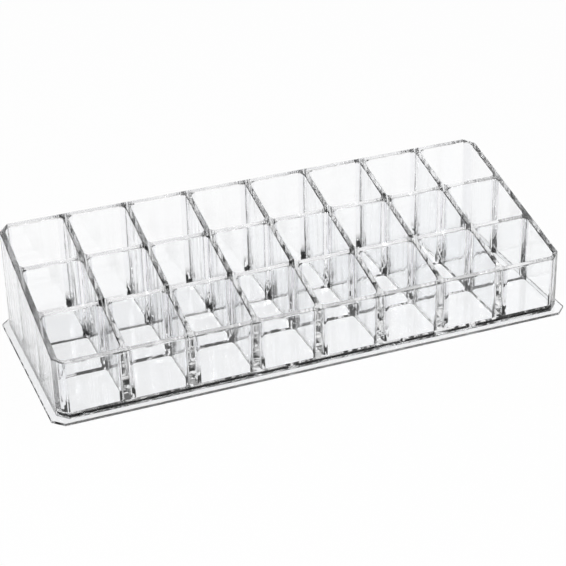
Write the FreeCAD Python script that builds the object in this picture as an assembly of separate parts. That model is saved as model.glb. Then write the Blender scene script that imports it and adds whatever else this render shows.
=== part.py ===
import FreeCAD, Part
import math
import os

# Clear vanity organizer: a grid of open cells under one sloping top, on a flanged base plate.
# Millimetres, +Z up, +X along the long side, +Y from the low front to the high back.
# The origin is on the table, under the middle of the base plate.

# Cell grid
column_count = 8
row_count = 3
cell_width = 24.6
cell_depth = 25.0
wall_thickness = 2.4

# Heights above the table, on the outer faces of the two long walls
front_height = 25.6
back_height = 46.5

# Base plate: a raised floor inside the walls, and a thin rim that carries the walls and stands out past them
floor_height = 3.0
rim_thickness = 1.1
rim_overhang = 2.8
rim_corner_cut = 4.5

# Bevelled corners of the walls, rounded roots of the dividers, and play in the crossings
wall_corner_cut = 4.2
root_radius = 2.0
lap_clearance = 0.05

# Sizes that follow
column_pitch = cell_width + wall_thickness
row_pitch = cell_depth + wall_thickness
body_length = column_count * column_pitch + wall_thickness
body_depth = row_count * row_pitch + wall_thickness
half_slot = wall_thickness / 2 + lap_clearance

AXIS_X = FreeCAD.Vector(1, 0, 0)
AXIS_Y = FreeCAD.Vector(0, 1, 0)
AXIS_Z = FreeCAD.Vector(0, 0, 1)


def top_height(y):
    """Height of the sloping top at depth y."""
    rise = (back_height - front_height) / body_depth
    return front_height + rise * (y + body_depth / 2)


def column_line(index):
    """X of the middle of a column divider, counted from the left."""
    return (index - column_count / 2) * column_pitch


def row_line(index):
    """Y of the middle of a row divider, counted from the front."""
    return (index - row_count / 2) * row_pitch


def lap_height(y):
    """Height at which a crossing changes hands, halfway up the wall."""
    return (floor_height + top_height(y)) / 2


def corner_points(length, depth, corner_cut):
    """Plan of a rectangle with bevelled corners, from the front edge's left end round to the left."""
    x, y = length / 2, depth / 2
    plan = [
        (-x + corner_cut, -y),
        (x - corner_cut, -y),
        (x, -y + corner_cut),
        (x, y - corner_cut),
        (x - corner_cut, y),
        (-x + corner_cut, y),
        (-x, y - corner_cut),
        (-x, -y + corner_cut),
    ]
    return [FreeCAD.Vector(px, py, 0) for px, py in plan]


def wall_plan(inset):
    """Plan of the outer walls' faces: the outer one, or one that lies further in."""
    corner_cut = wall_corner_cut - inset * (2 - math.sqrt(2))
    return corner_points(body_length - 2 * inset, body_depth - 2 * inset, corner_cut)


def upright(edges, low, high):
    """Prism on a closed plan outline, between two heights."""
    face = Part.Face(Part.Wire(edges))
    face.translate(AXIS_Z * low)
    return face.extrude(AXIS_Z * (high - low))


def polygon(points):
    """Edges of a closed plan outline with straight sides."""
    ends = points[1:] + points[:1]
    return [Part.LineSegment(start, end).toShape() for start, end in zip(points, ends)]


def block(x_range, y_range, z_range):
    """Box between two values on each axis."""
    low, high = zip(x_range, y_range, z_range)
    size = [b - a for a, b in zip(low, high)]
    return Part.makeBox(*size, FreeCAD.Vector(*low))


def body_envelope():
    """Space that the walls may fill: from the rim up to the sloping top."""
    front, back = -body_depth / 2, body_depth / 2
    side = [
        FreeCAD.Vector(-body_length / 2, front, rim_thickness),
        FreeCAD.Vector(-body_length / 2, back, rim_thickness),
        FreeCAD.Vector(-body_length / 2, back, back_height),
        FreeCAD.Vector(-body_length / 2, front, front_height),
    ]
    return Part.Face(Part.Wire(polygon(side))).extrude(AXIS_X * body_length)


def standing(edges, foot):
    """Wall on a plan outline, from its foot up to the sloping top."""
    tall = upright(edges, foot, back_height)
    return tall.common(body_envelope())


def base_plate():
    """Thin rim, with the floor of every cell raised on it so that the outer walls fit round the step."""
    length = body_length + 2 * rim_overhang
    depth = body_depth + 2 * rim_overhang
    rim = upright(polygon(corner_points(length, depth, rim_corner_cut)), 0, rim_thickness)
    raised_floor = upright(polygon(wall_plan(wall_thickness)), rim_thickness, floor_height)
    return rim.fuse(raised_floor).removeSplitter()


def outer_wall(first, last):
    """Stretch of the outer wall from one corner point to another, mitred at both ends."""
    outside = wall_plan(0)
    inside = wall_plan(wall_thickness)
    stops = [stop % len(outside) for stop in range(first, last + 1)]
    outline = [outside[stop] for stop in stops]
    outline += [inside[stop] for stop in reversed(stops)]
    return standing(polygon(outline), rim_thickness)


def rounded_root(foot, along, away):
    """Foot of a divider on a wall face: it spreads to both sides in two concave rounds."""
    half_web = wall_thickness / 2
    sides = []
    for side in (along, -along):
        toe = foot + side * (half_web + root_radius)
        neck = foot + side * half_web + away * root_radius
        centre = toe + away * root_radius
        belly = centre - (side + away) * (root_radius / math.sqrt(2))
        sides.append((toe, belly, neck))
    (right_toe, right_belly, right_neck), (left_toe, left_belly, left_neck) = sides
    edges = [
        Part.LineSegment(left_toe, right_toe).toShape(),
        Part.Arc(right_toe, right_belly, right_neck).toShape(),
        Part.LineSegment(right_neck, left_neck).toShape(),
        Part.Arc(left_neck, left_belly, left_toe).toShape(),
    ]
    return standing(edges, floor_height)


def row_divider(index):
    """Long divider with a rounded root on each side wall and slots from above for the columns."""
    y = row_line(index)
    end = body_length / 2 - wall_thickness
    web_y = (y - wall_thickness / 2, y + wall_thickness / 2)
    web = block((-end, end), web_y, (floor_height, back_height)).common(body_envelope())
    left_root = rounded_root(FreeCAD.Vector(-end, y, 0), AXIS_Y, AXIS_X)
    right_root = rounded_root(FreeCAD.Vector(end, y, 0), AXIS_Y, -AXIS_X)
    slots = []
    for column in range(1, column_count):
        x = column_line(column)
        slots.append(block((x - half_slot, x + half_slot), web_y, (lap_height(y), back_height)))
    return web.fuse([left_root, right_root]).removeSplitter().cut(slots)


def column_divider(index):
    """Front-to-back divider with rounded roots and slots from below for the row dividers."""
    x = column_line(index)
    end = body_depth / 2 - wall_thickness
    web_x = (x - wall_thickness / 2, x + wall_thickness / 2)
    web = block(web_x, (-end, end), (floor_height, back_height)).common(body_envelope())
    feet = [(-end, AXIS_Y), (end, -AXIS_Y)]
    slots = []
    for row in range(1, row_count):
        y = row_line(row)
        feet += [(y + half_slot, AXIS_Y), (y - half_slot, -AXIS_Y)]
        slot_top = lap_height(y) + lap_clearance
        slots.append(block(web_x, (y - half_slot, y + half_slot), (floor_height, slot_top)))
    roots = [rounded_root(FreeCAD.Vector(x, y, 0), AXIS_X, away) for y, away in feet]
    return web.fuse(roots).removeSplitter().cut(slots)


def build():
    """Every piece of the organizer, by name."""
    pieces = {
        "base_plate": base_plate(),
        "front_wall": outer_wall(0, 1),
        "right_side": outer_wall(1, 4),
        "back_wall": outer_wall(4, 5),
        "left_side": outer_wall(5, 8),
    }
    for index in range(1, row_count):
        pieces[f"row_divider_{index}"] = row_divider(index)
    for index in range(1, column_count):
        pieces[f"column_divider_{index}"] = column_divider(index)
    return pieces


os.makedirs("parts", exist_ok=True)
for name, piece in build().items():
    solid = piece.Solids[0]
    print(f"{name}: {len(piece.Solids)} solid, {solid.Volume:.1f} mm3, valid {solid.isValid()}")
    solid.exportStep(f"parts/{name}.step")
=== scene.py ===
import math

import bmesh
import bpy
from mathutils import Matrix, Vector


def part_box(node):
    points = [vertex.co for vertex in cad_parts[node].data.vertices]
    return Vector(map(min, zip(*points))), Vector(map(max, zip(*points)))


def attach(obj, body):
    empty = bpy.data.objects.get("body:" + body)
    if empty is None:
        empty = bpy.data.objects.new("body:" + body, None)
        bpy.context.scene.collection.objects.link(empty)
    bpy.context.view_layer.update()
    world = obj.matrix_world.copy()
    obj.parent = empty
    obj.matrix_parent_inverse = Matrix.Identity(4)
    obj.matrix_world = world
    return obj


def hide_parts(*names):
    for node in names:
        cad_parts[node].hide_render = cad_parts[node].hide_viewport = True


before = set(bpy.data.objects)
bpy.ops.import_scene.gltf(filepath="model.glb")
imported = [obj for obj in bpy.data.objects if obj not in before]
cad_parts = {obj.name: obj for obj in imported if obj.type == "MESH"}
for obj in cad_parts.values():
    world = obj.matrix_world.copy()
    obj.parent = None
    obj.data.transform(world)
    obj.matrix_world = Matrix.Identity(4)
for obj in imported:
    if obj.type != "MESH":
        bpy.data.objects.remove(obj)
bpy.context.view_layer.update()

# Clear organizer: a grid of open cells under one sloping top, on a base plate with a thin rim.
# The tray's whole skin is modelled first. It is then parted along the cemented seams into the panels of the
# frame, because light crosses a cemented seam undisturbed.
# Only the cement under the front and side walls shows, as a dark line of painted shade.

MM = 0.001

# Sizes read from the frame
front_low, front_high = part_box("front_wall")
back_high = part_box("back_wall")[1]
right_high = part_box("right_side")[1]
plate_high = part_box("base_plate")[1]
column_names = sorted(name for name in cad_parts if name.startswith("column_divider"))
row_names = sorted(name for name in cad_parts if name.startswith("row_divider"))
first_column_low, first_column_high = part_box(column_names[0])
wall = front_high.y - front_low.y
half_length = right_high.x
half_depth = back_high.y
wall_corner_cut = half_length - front_high.x
root_radius = (first_column_high.x - first_column_low.x - wall) / 2
floor_height = plate_high.z
rim_height = front_low.z
top_slope = (back_high.z - front_high.z) / (back_high.y - front_high.y)

# Rounds, drafts and their steps
rim_corner_cut = 4.5 * MM
lip_radius = 0.4 * MM
floor_radius = 0.12 * MM
rim_radius = 0.2 * MM
cell_draft = 0.006
outer_draft = 0.003
round_steps = 4
root_steps = 8
sharp_angle = math.radians(40)

# Feet of the cells: height of the roots' feet with painted shade, and of the strip with dashes of painted
# shade
root_foot = 9 * MM
rear_foot = 1.5 * MM

# What tells faces apart: least area of a cell's mouth, greatest width and perimeter of the faces in a rounded
# corner, and the greatest normal along Y of a face that looks to the front
mouth_least_area = (10 * MM) ** 2
narrow_width = 1 * MM
narrow_perimeter = 3 * MM
front_facing = -0.9

# Seams, set a little into the walls so that no cut runs along a face or through a round
seam_depth = 0.5 * MM
seam_margin = 0.2 * MM
seam_rise = 0.05 * MM
clear_space = 5 * MM

# Material slots of every piece
SKIN, LAND, LIP, LIP_CORNER, FLOOR_EDGE, RIM_EDGE, ROOT, FOOT, DASH, SEAM, CEMENT_SHADE = range(11)

# Scale of the noise in each finish, in cycles per metre, and how far it is drawn out along each axis
wave_scale = 130
wave_stretch = (1, 1, 0.25)
draw_mark_scale = 900
tint_scale = 120
upright_stretch = (1, 1, 0.03)
streak_scale = 1300
matt_scale = 700
rim_dash_scale = 260
root_scale = 700
root_stretch = (1, 1, 0.4)
dash_scale = 600
dash_stretch = (0.3, 1, 1)
dash_shift_scale = 35
shade_line_scale = 500
shade_line_stretch = (0.25, 0.5, 1)

# Levels of the noise between which each finish turns from pale to deep
streak_runs = (0.4, 0.65)
lip_runs = (0.46, 0.58)
floor_runs = (0.5, 0.53)
rim_runs = (0.46, 0.5)
root_runs = (0.45, 0.48)
dash_runs = (0.36, 0.44)
shade_line_runs = (0.32, 0.42)

# Depth of the relief on polished faces and on rounded edges, and matt finishes
skin_relief = 0.05 * MM
edge_relief = 0.1 * MM
land_roughness = 0.03
land_roughness_spread = 0.08
rim_roughness = 0.6

# Dark dashes of painted shade: how many come to a column, their shift and its spread, the part of each turn
# that is dark, and how strong they are in the back rows and along the rim's long sides
dashes_per_column = 1.07
dash_shift = 8.12
dash_shift_spread = 0.35
dash_part = (0.5, 0.54)
back_row_share = 0.3
long_rim_share = 0.3

# Painted shade line on the cement: heights above the rim at which it comes in and fades out, and how much it
# covers under the walls
shade_line_in = (0.08 * MM, 0.2 * MM)
shade_line_out = (1.6 * MM, 1.0 * MM)
shade_line_cover = 0.2

# Colours, and the colour sockets of a Mix node
CLEAR = (1.0, 1.0, 1.0)
BLACK = (0.0, 0.0, 0.0)
land_deep = (0.75, 0.75, 0.77)
root_pale = (0.97, 0.97, 0.985)
dash_pale = (0.99, 0.99, 1.0)
# Dark colour of the cement: unseen in the clear seams, and painted shade in the line under the walls
cement_and_shade_dark = (0.02, 0.02, 0.025)
MIX_A, MIX_B, MIX_RESULT = 6, 7, 2

# Studio: table, sky by direction, and one softbox
table_half = 3.0
table_drop = 0.2 * MM
table_white = (0.9, 0.9, 0.9, 1)
table_glow = 0.96
horizon_fade = (0.36, 0.26)
side_fade = (0.18, 0.42)
side_levels = (0.01, 0.95)
softbox_place = Vector((-0.7, -0.9, 1.2))
softbox_aim = Vector((0, 0, 0.02))
softbox_size = 0.9
softbox_power = 22

# Camera, fitted to the photograph
camera_lens = 107.40
camera_sensor = 36.0
camera_azimuth = math.radians(-20.855)
camera_elevation = math.radians(28.507)
camera_roll = math.radians(-1.432)
camera_target = Vector((0.179, -0.081, 16.492)) * MM
camera_distance = 709.507 * MM


def middle(name, axis):
    """Middle of a node along one axis."""
    low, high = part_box(name)
    return (low[axis] + high[axis]) / 2


column_lines = [middle(name, 0) for name in column_names]
row_lines = [middle(name, 1) for name in row_names]
column_pitch = column_lines[1] - column_lines[0]
root_reach = wall / 2 + root_radius + seam_margin
inner_x = half_length - wall
inner_y = half_depth - wall
plate_seam = floor_height + floor_radius + seam_rise
above_all = back_high.z + clear_space


def top_height(y):
    """Height of the sloping top at depth y."""
    return back_high.z + top_slope * (y - back_high.y)


def lap_height(y):
    """Height at which a crossing changes from the row divider to the column divider."""
    return (floor_height + top_height(y)) / 2


def narrowed(corner_cut, inward):
    """Corner cut of an octagon whose eight sides all move inward."""
    return corner_cut - inward * (2 - math.sqrt(2))


def spans(outer, lines):
    """Free widths between the walls along one axis."""
    starts = [-outer + wall] + [line + wall / 2 for line in lines]
    ends = [line - wall / 2 for line in lines] + [outer - wall]
    return list(zip(starts, ends))


def quarter_steps(radius):
    """Sideways and downward steps round a quarter circle, from flat to upright."""
    turns = [math.pi / 2 * step / round_steps for step in range(round_steps + 1)]
    places = [(radius * math.sin(turn), radius * (1 - math.cos(turn))) for turn in turns]
    return [(b[0] - a[0], b[1] - a[1]) for a, b in zip(places, places[1:])]


def flat_face(bm, points):
    """Face on a few corner points."""
    return bm.faces.new([bm.verts.new(point) for point in points])


def rectangle(bm, x_span, y_span, height):
    """Level upward face between two values on each axis."""
    front = [(x, y_span[0], height) for x in x_span]
    back = [(x, y_span[1], height) for x in reversed(x_span)]
    return flat_face(bm, front + back)


def cut_corners(bm, corners, size, steps):
    """Bevels corners of level faces in one step, or rounds them in several."""
    bmesh.ops.bevel(
        bm,
        geom=corners,
        offset=size,
        offset_type="OFFSET",
        affect="VERTICES",
        segments=steps,
        profile=0.5,
        material=-1,
    )


def inset(bm, faces, sideways, up, slot):
    """Insets faces and raises them. The ring round each goes into a material slot."""
    made = bmesh.ops.inset_individual(bm, faces=faces, thickness=sideways, depth=up)
    for ring_face in made["faces"]:
        ring_face.material_index = slot
    return made["faces"]


def extend(bm, edges, place, slot=SKIN):
    """Extends an open edge loop to new places, and returns the new open loop."""
    made = bmesh.ops.extrude_edge_only(bm, edges=edges)["geom"]
    for item in made:
        if isinstance(item, bmesh.types.BMVert):
            item.co = place(item.co)
        if isinstance(item, bmesh.types.BMFace):
            item.material_index = slot
    return [item for item in made if isinstance(item, bmesh.types.BMEdge) and item.is_boundary]


def octagon(reach_x, reach_y, corner_cut, height):
    """Where the corners of an octagon go when it changes to another size and height."""
    def place(corner):
        on_long_side = half_length - abs(corner.x) > half_depth - abs(corner.y)
        x = reach_x - corner_cut if on_long_side else reach_x
        y = reach_y if on_long_side else reach_y - corner_cut
        return math.copysign(x, corner.x), math.copysign(y, corner.y), height
    return place


def rim_octagon(inward, height):
    """Where the rim's outline lies, a little inside its full size."""
    corner_cut = narrowed(rim_corner_cut, inward)
    return octagon(plate_high.x - inward, plate_high.y - inward, corner_cut, height)


def open_top(bm):
    """Outer walls' top edge, turned over in a small round. Returns the land's outline and the open skirt."""
    outline = rectangle(bm, (-half_length, half_length), (-half_depth, half_depth), 0)
    cut_corners(bm, outline.verts[:], wall_corner_cut, 1)
    outline = bm.faces[:][0]
    for sideways, up in reversed(quarter_steps(lip_radius)):
        inset(bm, [outline], sideways, up, LIP)
    skirt = [edge for edge in bm.edges if edge.is_boundary]
    land_outline = outline.edges[:]
    bmesh.ops.delete(bm, geom=[outline], context="FACES_ONLY")
    return land_outline, skirt


def cell_mouths(bm, land_height):
    """Mouth of every cell, with rounded corners, which have their own size at the tray's corners."""
    for x_low, x_high in spans(half_length, column_lines):
        for y_low, y_high in spans(half_depth, row_lines):
            x_span = (x_low - lip_radius, x_high + lip_radius)
            y_span = (y_low - lip_radius, y_high + lip_radius)
            rectangle(bm, x_span, y_span, land_height)
    bm.faces.ensure_lookup_table()
    mouths = [face for face in bm.faces if len(face.verts) == 4 and face.calc_area() > mouth_least_area]
    tray_corners = []
    root_corners = []
    for mouth in mouths:
        for corner in mouth.verts:
            in_end_column = abs(corner.co.x) > inner_x
            in_end_row = abs(corner.co.y) > inner_y
            group = tray_corners if in_end_column and in_end_row else root_corners
            group.append(corner)
    cut_corners(bm, tray_corners, narrowed(wall_corner_cut, wall - lip_radius), root_steps)
    cut_corners(bm, root_corners, root_radius + lip_radius, root_steps)
    return [face for face in bm.faces if len(face.verts) > root_steps]


def lower(bm, mouth, drop, height, slot):
    """Takes a cell's mouth down, a little narrower. Its rounded corners go into a material slot."""
    ring = inset(bm, [mouth], cell_draft * drop, 0, SKIN)
    for corner in mouth.verts:
        corner.co.z = height
    for edge in mouth.edges:
        if edge.calc_length() < narrow_width:
            for narrow in edge.link_faces:
                narrow.material_index = slot
    return ring


def sink_cells(bm, mouths):
    """Cells below their mouths: walls a little thicker at the foot, and a floor in a small round."""
    for mouth in mouths:
        depth = top_height(mouth.calc_center_median().y) - floor_height
        lower(bm, mouth, depth - root_foot, floor_height + root_foot, ROOT)
        lower(bm, mouth, root_foot - rear_foot, floor_height + rear_foot, FOOT)
        lowest = lower(bm, mouth, rear_foot, floor_height + floor_radius, FOOT)
        for foot_face in lowest:
            foot_face.normal_update()
            if foot_face.normal.y < front_facing and foot_face.material_index == SKIN:
                foot_face.material_index = DASH
        mouth.material_index = SKIN
    bm.normal_update()
    for sideways, down in reversed(quarter_steps(floor_radius)):
        inset(bm, mouths, sideways, -down, FLOOR_EDGE)


def wall_foot(corner):
    """Where the outer walls meet the rim: they lean out a little on their way down."""
    lean = outer_draft * (corner.z - rim_height)
    corner_cut = narrowed(wall_corner_cut, -lean)
    return octagon(half_length + lean, half_depth + lean, corner_cut, rim_height)(corner)


def rim_below(bm, skirt):
    """Outer faces of the walls, the rim that they stand on, and the flat underside."""
    back_step = rim_radius
    height = rim_height
    skirt = extend(bm, skirt, wall_foot)
    skirt = extend(bm, skirt, rim_octagon(back_step, height))
    for sideways, down in quarter_steps(rim_radius):
        back_step -= sideways
        height -= down
        skirt = extend(bm, skirt, rim_octagon(back_step, height), RIM_EDGE)
    height = rim_radius
    skirt = extend(bm, skirt, rim_octagon(back_step, height), RIM_EDGE)
    for sideways, down in reversed(quarter_steps(rim_radius)):
        back_step += sideways
        height -= down
        skirt = extend(bm, skirt, rim_octagon(back_step, height), RIM_EDGE)
    for underside in bmesh.ops.contextual_create(bm, geom=skirt)["faces"]:
        underside.material_index = SKIN


def tray_skin():
    """Whole outer skin of the cemented tray."""
    bm = bmesh.new()
    land_outline, skirt = open_top(bm)
    land_height = land_outline[0].verts[0].co.z
    mouths = cell_mouths(bm, land_height)
    mouth_edges = [edge for mouth in mouths for edge in mouth.edges]
    lands = bmesh.ops.triangle_fill(bm, use_beauty=True, edges=land_outline + mouth_edges, normal=(0, 0, 1))
    for item in lands["geom"]:
        if isinstance(item, bmesh.types.BMFace):
            item.material_index = LAND
    for sideways, down in quarter_steps(lip_radius):
        for lip_face in inset(bm, mouths, sideways, -down, LIP):
            if lip_face.calc_perimeter() < narrow_perimeter:
                lip_face.material_index = LIP_CORNER
    for vert in bm.verts:
        vert.co.z += top_height(vert.co.y) - land_height
    sink_cells(bm, mouths)
    rim_below(bm, skirt)
    bmesh.ops.recalc_face_normals(bm, faces=bm.faces[:])
    return as_mesh(bm, "tray_skin")


def as_mesh(bm, name):
    """Mesh from a bmesh, with the slots of every piece."""
    mesh = bpy.data.meshes.new(name)
    bm.to_mesh(mesh)
    bm.free()
    for material in finishes:
        mesh.materials.append(material)
    return mesh


def placed(mesh, name):
    """Object for a mesh, at the origin."""
    item = bpy.data.objects.new(name, mesh)
    bpy.context.scene.collection.objects.link(item)
    return item


def seam_former(bm, name):
    """Closed form that parts the tray. Its faces become clear seams where they aren't lines of painted shade
    on the cement.
    """
    bmesh.ops.recalc_face_normals(bm, faces=bm.faces[:])
    for face in bm.faces:
        if face.material_index != CEMENT_SHADE:
            face.material_index = SEAM
    return placed(as_mesh(bm, name), name)


def thicken(bm, faces, step):
    """Sweeps flat faces along a step into closed forms."""
    made = bmesh.ops.extrude_face_region(bm, geom=faces, use_keep_orig=True)["geom"]
    moved = [item for item in made if isinstance(item, bmesh.types.BMVert)]
    bmesh.ops.translate(bm, verts=moved, vec=step)


def plate_former():
    """Space of the base plate: the rim, and the raised floor with the round at its edge."""
    bm = bmesh.new()
    rectangle(bm, (-inner_x, inner_x), (-inner_y, inner_y), plate_seam)
    cut_corners(bm, bm.verts[:], narrowed(wall_corner_cut, wall), 1)
    reach = (inner_x + seam_depth, inner_y + seam_depth)
    raised_cut = narrowed(wall_corner_cut, wall - seam_depth)
    for vert in bm.verts:
        vert.co = octagon(*reach, raised_cut, plate_seam)(vert.co)
    skirt = [edge for edge in bm.edges if edge.is_boundary]
    rim_seam = rim_height + seam_rise
    wide = (plate_high.x + clear_space, plate_high.y + clear_space)
    # The rim's faces under the walls carry the line of painted shade
    skirt = extend(bm, skirt, octagon(*reach, raised_cut, rim_seam), CEMENT_SHADE)
    skirt = extend(bm, skirt, octagon(*wide, rim_corner_cut, rim_seam), CEMENT_SHADE)
    skirt = extend(bm, skirt, octagon(*wide, rim_corner_cut, -clear_space))
    bmesh.ops.contextual_create(bm, geom=skirt)
    return seam_former(bm, "plate_former")


def column_former():
    """Space of the column dividers with their roots, slotted from below at the row dividers."""
    bm = bmesh.new()
    end = inner_y + seam_depth
    for x in column_lines:
        left = x - root_reach
        outline = [(left, -end, plate_seam)]
        for y in row_lines:
            slot_front = y - wall / 2 + seam_depth
            slot_back = y + wall / 2 - seam_depth
            outline.append((left, slot_front, plate_seam))
            outline.append((left, slot_front, lap_height(y)))
            outline.append((left, slot_back, lap_height(y)))
            outline.append((left, slot_back, plate_seam))
        outline.append((left, end, plate_seam))
        outline.append((left, end, above_all))
        outline.append((left, -end, above_all))
        thicken(bm, [flat_face(bm, outline)], (2 * root_reach, 0, 0))
    return seam_former(bm, "column_former")


def row_former():
    """Space of the row dividers with their roots on the side walls."""
    bm = bmesh.new()
    end = inner_x + seam_depth
    for y in row_lines:
        bar = rectangle(bm, (-end, end), (y - root_reach, y + root_reach), plate_seam)
        thicken(bm, [bar], (0, 0, above_all - plate_seam))
    return seam_former(bm, "row_former")


def long_wall_former():
    """Space of the front and back walls, mitred at their ends."""
    bm = bmesh.new()
    mitre = Vector((1 - math.sqrt(2), 1))
    corner = Vector((half_length - wall_corner_cut - seam_margin, -half_depth))
    outside = corner - mitre * clear_space
    inside = corner + mitre * (wall + clear_space / 2)
    for side in (1, -1):
        outline = [
            (-outside.x, side * outside.y, 0),
            (outside.x, side * outside.y, 0),
            (inside.x, side * inside.y, 0),
            (-inside.x, side * inside.y, 0),
        ]
        thicken(bm, [flat_face(bm, outline)], (0, 0, above_all))
    return seam_former(bm, "long_wall_former")


def parted(mesh, former, operation):
    """What a form leaves of a mesh, or takes out of it."""
    whole = placed(mesh.copy(), "parting")
    cut = whole.modifiers.new("cut", "BOOLEAN")
    cut.operation = operation
    cut.solver = "EXACT"
    cut.object = former
    graph = bpy.context.evaluated_depsgraph_get()
    rest = bpy.data.meshes.new_from_object(whole.evaluated_get(graph))
    bpy.data.objects.remove(whole)
    return rest


def panel(mesh, node, finish, low, high):
    """Piece for one node: the faces of a mesh between two corners, finished with its skin, land and lip."""
    bm = bmesh.new()
    bm.from_mesh(mesh)
    outside = []
    for face in bm.faces:
        centre = face.calc_center_median()
        if not all(low[axis] < centre[axis] < high[axis] for axis in range(2)):
            outside.append(face)
    bmesh.ops.delete(bm, geom=outside, context="FACES")
    piece_mesh = as_mesh(bm, f"{node}_clear")
    for slot, material in zip((SKIN, LAND, LIP), finish):
        piece_mesh.materials[slot] = material
    for polygon in piece_mesh.polygons:
        polygon.use_smooth = True
    piece_mesh.set_sharp_from_angle(angle=sharp_angle)
    piece = placed(piece_mesh, f"{node}_clear")
    even = piece.modifiers.new("even_normals", "WEIGHTED_NORMAL")
    even.mode = "FACE_AREA"
    even.weight = 100
    even.keep_sharp = True
    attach(piece, "root")
    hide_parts(node)


class Socket:
    """Node socket that takes part in arithmetic and adds further nodes to its tree."""

    def __init__(self, socket):
        self.socket = socket
        self.tree = socket.id_data

    def node(self, kind, settings, inputs, output=0):
        """Adds a node, sets it up, links its inputs, and gives one of its outputs."""
        made = self.tree.nodes.new(kind)
        for name, value in settings.items():
            setattr(made, name, value)
        for name, value in inputs.items():
            if isinstance(value, Socket):
                self.tree.links.new(value.socket, made.inputs[name])
            else:
                made.inputs[name].default_value = value
        return Socket(made.outputs[output])

    def math(self, operation, first, second=0.0):
        """Adds a Math node."""
        return self.node("ShaderNodeMath", {"operation": operation}, {0: first, 1: second})

    def feed(self, socket):
        """Links this socket to an input."""
        self.tree.links.new(self.socket, socket)

    def __add__(self, other):
        return self.math("ADD", self, other)

    def __radd__(self, other):
        return self.math("ADD", other, self)

    def __mul__(self, other):
        return self.math("MULTIPLY", self, other)

    def __rmul__(self, other):
        return self.math("MULTIPLY", other, self)


def node_start(tree, kind, output):
    """First node of a tree, as a socket to build on."""
    return Socket(tree.nodes.new(kind).outputs[output])


def stretched(place, scale):
    """Place with scaled axes, on which noise is drawn out."""
    return place.node("ShaderNodeMapping", {}, {"Vector": place, "Scale": scale})


def along(place, axis):
    """One coordinate of a place."""
    return place.node("ShaderNodeSeparateXYZ", {}, {"Vector": place}, output=axis)


def noise(place, scale, detail):
    """Noise over the pieces, about 0.5 on average."""
    return place.node("ShaderNodeTexNoise", {}, {"Vector": place, "Scale": scale, "Detail": detail})


def ramp(value, start, end, low=0.0, high=1.0):
    """Level that goes from low to high while a value goes from start to end."""
    inputs = {"Value": value, "From Min": start, "From Max": end, "To Min": low, "To Max": high}
    return value.node("ShaderNodeMapRange", {}, inputs)


def blend(factor, pale, deep):
    """Colour between a pale and a deep one."""
    inputs = {"Factor": factor, MIX_A: (*pale, 1), MIX_B: (*deep, 1)}
    return factor.node("ShaderNodeMix", {"data_type": "RGBA"}, inputs, output=MIX_RESULT)


def relief(height, depth):
    """Normals of a bumpy surface."""
    return height.node("ShaderNodeBump", {}, {"Height": height, "Strength": 1.0, "Distance": depth})


def plastic(name):
    """New material with a clear polished shader, and the Object coordinates of its pieces."""
    material = bpy.data.materials.new(name)
    material.use_nodes = True
    shader = material.node_tree.nodes["Principled BSDF"]
    shader.inputs["IOR"].default_value = 1.49
    shader.inputs["Transmission Weight"].default_value = 1.0
    shader.inputs["Roughness"].default_value = 0.0
    place = node_start(material.node_tree, "ShaderNodeTexCoord", "Object")
    return material, shader, place


def dark_material(name):
    """New material with a dark shader."""
    material = bpy.data.materials.new(name)
    material.use_nodes = True
    shader = material.node_tree.nodes["Principled BSDF"]
    shader.inputs["Base Color"].default_value = (*cement_and_shade_dark, 1)
    return material, shader


def polished_skin(name, pale, deep, wave_depth, draw_depth):
    """Polished faces: broad waves and fine draw marks, all upright, and a tint that varies a little between a
    pale and a deep level, which darker panels use as painted shade.
    """
    material, shader, place = plastic(name)
    upright = stretched(place, upright_stretch)
    waves = noise(stretched(place, wave_stretch), wave_scale, detail=1)
    draw_marks = noise(upright, draw_mark_scale, detail=2)
    bumps = relief(wave_depth * waves + draw_depth * draw_marks, skin_relief)
    bumps.feed(shader.inputs["Normal"])
    tint = blend(noise(upright, tint_scale, detail=2), pale, deep)
    tint.feed(shader.inputs["Base Color"])
    return material


def sawn_land(name, stretch):
    """Top edges, less clear than the faces, with fine streaks along their length."""
    material, shader, place = plastic(name)
    streaks = ramp(noise(stretched(place, stretch), streak_scale, detail=2), *streak_runs)
    tint = blend(streaks, CLEAR, land_deep)
    tint.feed(shader.inputs["Base Color"])
    roughness = land_roughness + land_roughness_spread * noise(place, matt_scale, detail=2)
    roughness.feed(shader.inputs["Roughness"])
    return material


def painted_edge_shade(name, scale, runs, pale, deep):
    """Rounded edges, with painted shade in uneven dark runs."""
    material, shader, place = plastic(name)
    pattern = noise(place, scale, detail=2)
    tint = blend(ramp(pattern, *runs), (pale, pale, pale), (deep, deep, deep))
    tint.feed(shader.inputs["Base Color"])
    ripple = relief(pattern, edge_relief)
    ripple.feed(shader.inputs["Normal"])
    return material


def matt_rim():
    """Rim's rounded edge: matt, with dark dashes of painted shade at both ends of the tray and faint ones
    along its length.
    """
    material, shader, place = plastic("rim_edge")
    x = along(place, "X")
    at_ends = ramp(x.math("ABSOLUTE", x), half_length - wall, half_length, low=long_rim_share)
    dashes = ramp(noise(place, rim_dash_scale, detail=2), *rim_runs)
    tint = blend(dashes * at_ends, CLEAR, BLACK)
    tint.feed(shader.inputs["Base Color"])
    shader.inputs["Roughness"].default_value = rim_roughness
    return material


def root_shade():
    """Painted shade on the feet of the roots, darker towards the floor in uneven upright runs."""
    material, shader, place = plastic("root_shade")
    nearness = ramp(along(place, "Z"), floor_height + root_foot, floor_height + root_foot / 2)
    runs = ramp(noise(stretched(place, root_stretch), root_scale, detail=1), *root_runs)
    tint = blend(nearness * runs, root_pale, BLACK)
    tint.feed(shader.inputs["Base Color"])
    return material


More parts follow.
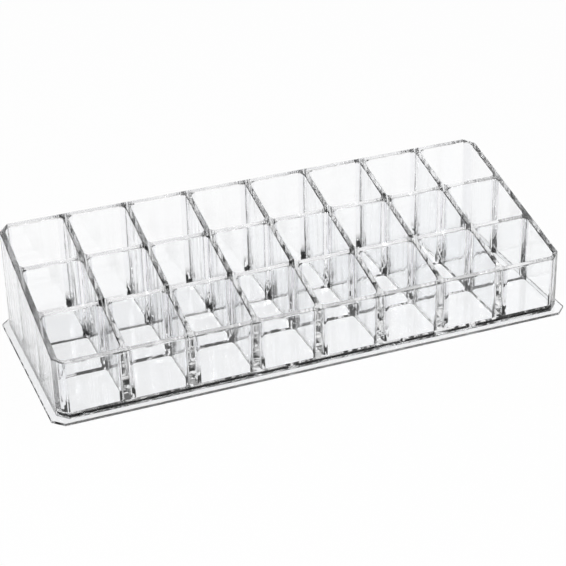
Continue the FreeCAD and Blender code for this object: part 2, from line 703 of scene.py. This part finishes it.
def foot_dash():
    """Rear feet of the cells, with a short dark dash of painted shade in each cell, stronger in the front
    row.
    """
    material, shader, place = plastic("foot_dash")
    shift = dash_shift + dash_shift_spread * noise(place, dash_shift_scale, detail=0)
    turns = along(place, "X") * (dashes_per_column / column_pitch) + shift
    in_dash = ramp(turns.math("FRACT", turns), *dash_part)
    in_front = ramp(along(place, "Y"), row_lines[1] - wall, row_lines[0], low=back_row_share)
    runs = ramp(noise(stretched(place, dash_stretch), dash_scale, detail=2), *dash_runs)
    tint = blend(in_dash * runs * in_front, dash_pale, BLACK)
    tint.feed(shader.inputs["Base Color"])
    return material


def cemented_seam():
    """Cement between two panels, which can't be seen."""
    material, shader = dark_material("cemented_seam")
    shader.inputs["Alpha"].default_value = 0.0
    return material


def painted_shade_line():
    """Dark line of painted shade on the cement under the front and side walls and a little way up the step,
    seen dark through the walls' feet.
    """
    material, shader = dark_material("painted_shade_line")
    place = node_start(material.node_tree, "ShaderNodeTexCoord", "Object")
    runs = ramp(noise(stretched(place, shade_line_stretch), shade_line_scale, detail=2), *shade_line_runs)
    z = along(place, "Z")
    coming_in = ramp(z, rim_height + shade_line_in[0], rim_height + shade_line_in[1], low=shade_line_cover)
    fading_out = ramp(z, rim_height + shade_line_out[0], rim_height + shade_line_out[1])
    before_back_wall = ramp(along(place, "Y"), inner_y - wall, inner_y - 2 * wall)
    cover = runs * coming_in * fading_out * before_back_wall
    cover.feed(shader.inputs["Alpha"])
    return material


def table_top():
    """White table top that keeps a soft shadow."""
    bm = bmesh.new()
    bmesh.ops.create_grid(bm, x_segments=1, y_segments=1, size=table_half)
    bmesh.ops.translate(bm, verts=bm.verts[:], vec=(0, 0, -table_drop))
    mesh = bpy.data.meshes.new("table_top")
    bm.to_mesh(mesh)
    bm.free()
    material = bpy.data.materials.new("table_top")
    material.use_nodes = True
    tree = material.node_tree
    tree.nodes.remove(tree.nodes["Principled BSDF"])
    camera_ray = node_start(tree, "ShaderNodeLightPath", "Is Camera Ray")
    glossy_ray = node_start(tree, "ShaderNodeLightPath", "Is Glossy Ray")
    clear_ray = node_start(tree, "ShaderNodeLightPath", "Is Transmission Ray")
    straight_or_glossy = camera_ray.math("MAXIMUM", camera_ray, glossy_ray)
    seen = camera_ray.math("MAXIMUM", straight_or_glossy, clear_ray)
    matte = seen.node("ShaderNodeBsdfDiffuse", {}, {"Color": table_white})
    white = seen.node("ShaderNodeEmission", {}, {"Strength": 1.0})
    surface = seen.node("ShaderNodeMixShader", {}, {"Fac": seen * table_glow, 1: matte, 2: white})
    surface.feed(tree.nodes["Material Output"].inputs["Surface"])
    mesh.materials.append(material)
    placed(mesh, "table_top")


def softbox():
    """Square soft light that looks at the organizer."""
    data = bpy.data.lights.new("key", "AREA")
    data.shape = "RECTANGLE"
    data.size = softbox_size
    data.size_y = softbox_size
    data.energy = softbox_power
    light = bpy.data.objects.new("key", data)
    light.location = softbox_place
    light.rotation_euler = (softbox_place - softbox_aim).to_track_quat("Z", "Y").to_euler()
    bpy.context.scene.collection.objects.link(light)


def studio_sky():
    """White round the horizon, dark above, and lighter to the right."""
    world = bpy.data.worlds.new("studio")
    world.use_nodes = True
    tree = world.node_tree
    direction = node_start(tree, "ShaderNodeTexCoord", "Generated")
    horizon = ramp(along(direction, "Z"), *horizon_fade)
    side = ramp(along(direction, "X"), *side_fade, *side_levels)
    sky = direction.math("MAXIMUM", horizon, side)
    sky.feed(tree.nodes["Background"].inputs["Color"])
    bpy.context.scene.world = world


def camera():
    """Camera at the photograph's viewing angle."""
    data = bpy.data.cameras.new("camera")
    data.lens = camera_lens
    data.sensor_width = camera_sensor
    data.clip_end = 20
    view = bpy.data.objects.new("camera", data)
    sideways = Matrix.Rotation(camera_azimuth, 4, "Z")
    downward = Matrix.Rotation(math.pi / 2 - camera_elevation, 4, "X")
    turn = sideways @ downward @ Matrix.Rotation(camera_roll, 4, "Z")
    away = turn.to_3x3() @ Vector((0, 0, camera_distance))
    view.matrix_world = Matrix.Translation(camera_target + away) @ turn
    bpy.context.scene.collection.objects.link(view)
    bpy.context.scene.camera = view


def organizer():
    """Every panel of the tray, parted from its whole skin."""
    skin = tray_skin()
    plate_space = plate_former()
    column_space = column_former()
    row_space = row_former()
    long_wall_space = long_wall_former()
    plate = parted(skin, plate_space, "INTERSECT")
    upper = parted(skin, plate_space, "DIFFERENCE")
    columns = parted(upper, column_space, "INTERSECT")
    frame_and_rows = parted(upper, column_space, "DIFFERENCE")
    rows = parted(frame_and_rows, row_space, "INTERSECT")
    walls = parted(frame_and_rows, row_space, "DIFFERENCE")
    long_walls = parted(walls, long_wall_space, "INTERSECT")
    sides = parted(walls, long_wall_space, "DIFFERENCE")
    for former in (plate_space, column_space, row_space, long_wall_space):
        bpy.data.objects.remove(former)
    far = 1.0
    reach = root_reach * 2
    panel(plate, "base_plate", (plate_skin, row_land, lip), (-far, -far), (far, far))
    panel(long_walls, "front_wall", (wall_skin, row_land, lip), (-far, -far), (far, 0))
    panel(long_walls, "back_wall", (wall_skin, row_land, pale_lip), (-far, 0), (far, far))
    panel(sides, "left_side", (left_skin, column_land, lip), (-far, -far), (0, far))
    panel(sides, "right_side", (right_skin, column_land, lip), (0, -far), (far, far))
    for node, y in zip(row_names, row_lines):
        panel(rows, node, (wall_skin, row_land, pale_lip), (-far, y - reach), (far, y + reach))
    for node, x in zip(column_names, column_lines):
        panel(columns, node, (divider_skin, column_land, lip), (x - reach, -far), (x + reach, far))


# The wall and plate skins carry the plastic's faint tint. The divider, root and side skins are tinted darker
# as painted shade, the left side darker than the right.
wall_skin = polished_skin(
    "wall_skin", pale=CLEAR, deep=(0.985, 0.992, 1.0), wave_depth=1, draw_depth=0.1
)
divider_skin = polished_skin(
    "divider_skin", pale=(0.967, 0.973, 0.98), deep=(0.918, 0.926, 0.935), wave_depth=4, draw_depth=0.25
)
left_skin = polished_skin(
    "left_skin", pale=(0.966, 0.972, 0.98), deep=(0.895, 0.905, 0.918), wave_depth=1, draw_depth=4.5
)
right_skin = polished_skin(
    "right_skin", pale=(0.985, 0.99, 0.995), deep=(0.947, 0.955, 0.963), wave_depth=1, draw_depth=0.6
)
plate_skin = polished_skin(
    "plate_skin", pale=(0.99, 0.995, 1.0), deep=(0.972, 0.98, 0.995), wave_depth=1, draw_depth=0
)
root_skin = polished_skin(
    "root_skin", pale=root_pale, deep=(0.85, 0.855, 0.88), wave_depth=1, draw_depth=4.5
)
row_land = sawn_land("row_land", stretch=(0.05, 1, 1))
column_land = sawn_land("column_land", stretch=(1, 0.05, 0.2))
# The lips, their corners and the floor edges carry painted shade in dark runs
lip = painted_edge_shade("lip", scale=170, runs=lip_runs, pale=0.95, deep=0.1)
pale_lip = painted_edge_shade("pale_lip", scale=170, runs=lip_runs, pale=1.0, deep=0.7)
lip_corner = painted_edge_shade("lip_corner", scale=500, runs=lip_runs, pale=0.5, deep=0.02)
floor_edge = painted_edge_shade("floor_edge", scale=90, runs=floor_runs, pale=1.0, deep=0.5)

# One finish for each material slot. A panel puts its own skin, land and lip in the first three.
finishes = [wall_skin, row_land, lip, lip_corner, floor_edge, matt_rim()]
finishes += [root_skin, root_shade(), foot_dash(), cemented_seam(), painted_shade_line()]
organizer()
table_top()
studio_sky()
softbox()
camera()
scene = bpy.context.scene
scene.view_settings.view_transform = "Standard"
scene.cycles.max_bounces = 40
scene.cycles.transmission_bounces = 40
scene.cycles.glossy_bounces = 16
scene.cycles.transparent_max_bounces = 128
